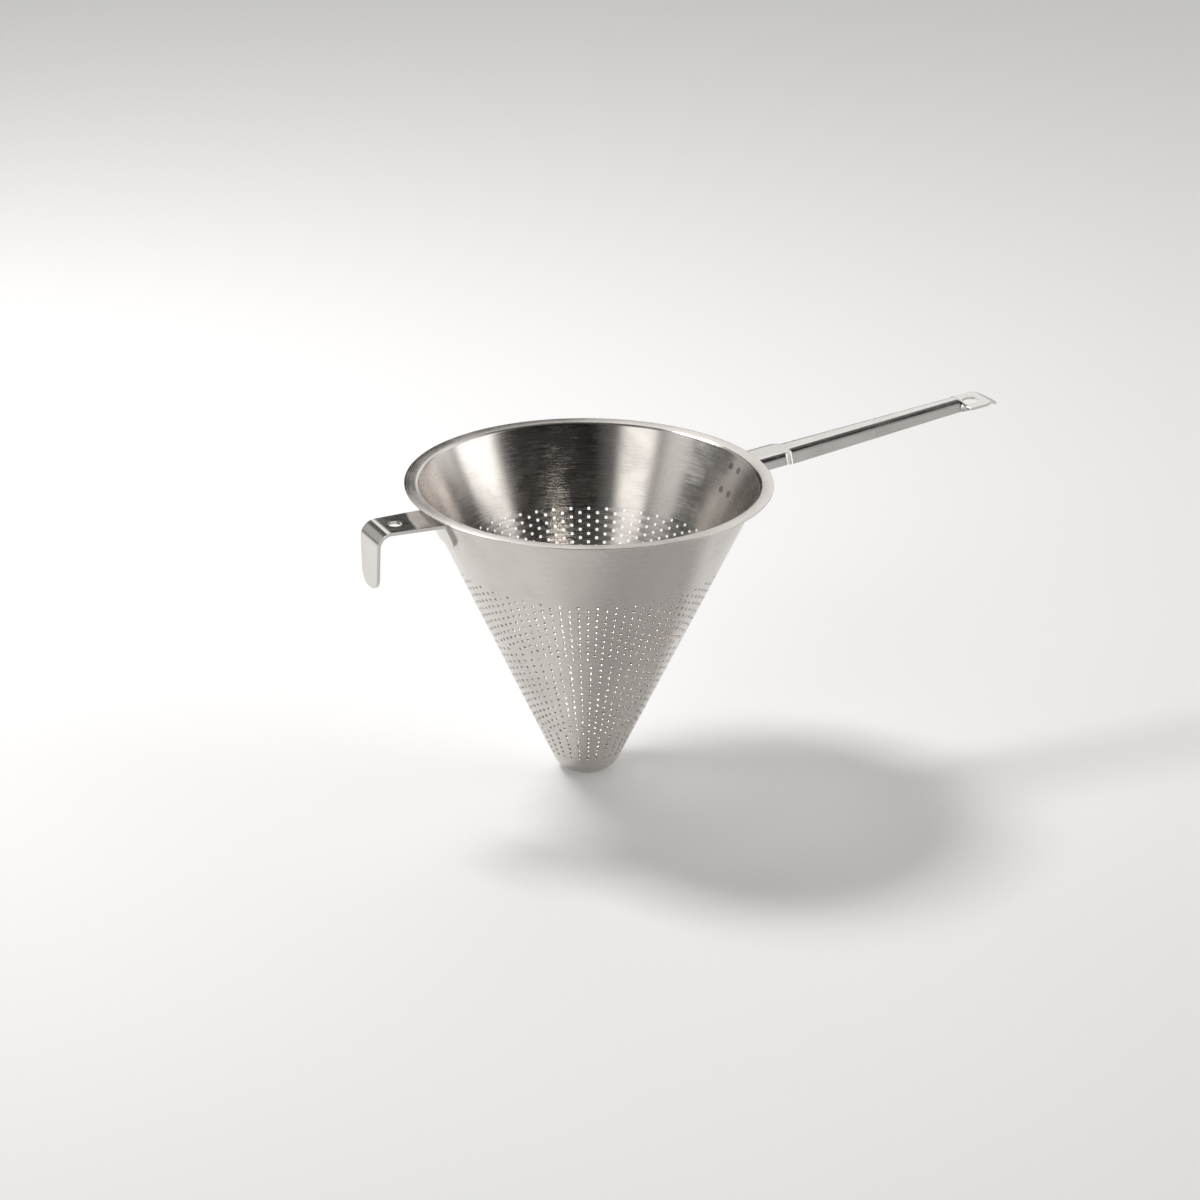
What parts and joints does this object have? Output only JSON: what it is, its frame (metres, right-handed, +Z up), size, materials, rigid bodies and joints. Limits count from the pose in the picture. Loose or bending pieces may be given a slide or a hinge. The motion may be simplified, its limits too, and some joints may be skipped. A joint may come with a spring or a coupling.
{
  "type": "chinois strainer",
  "caption": "Conical perforated steel strainer with a flat flange, a bent hanging hook and a gutter-shaped handle with a hang hole.",
  "frame": {"origin": "centre of the flat underside of the cone's tip", "axes": "+Z up the cone's axis towards the mouth, +X along the handle, the hook at -X"},
  "size_m": [0.4111, 0.214, 0.1961],
  "materials": {
    "body_steel": "satin stainless steel, brushed round the cone",
    "hook_steel": "satin stainless steel",
    "handle_steel": "satin stainless steel, brushed along the strip",
    "weld_steel": "darkened steel of an electrode mark"
  },
  "bodies": {
    "root": {"strainer_body": "body_steel", "hook": "hook_steel", "handle": "handle_steel", "hook_spot_welds": "weld_steel", "handle_spot_welds": "weld_steel"}
  },
  "joints": []
}
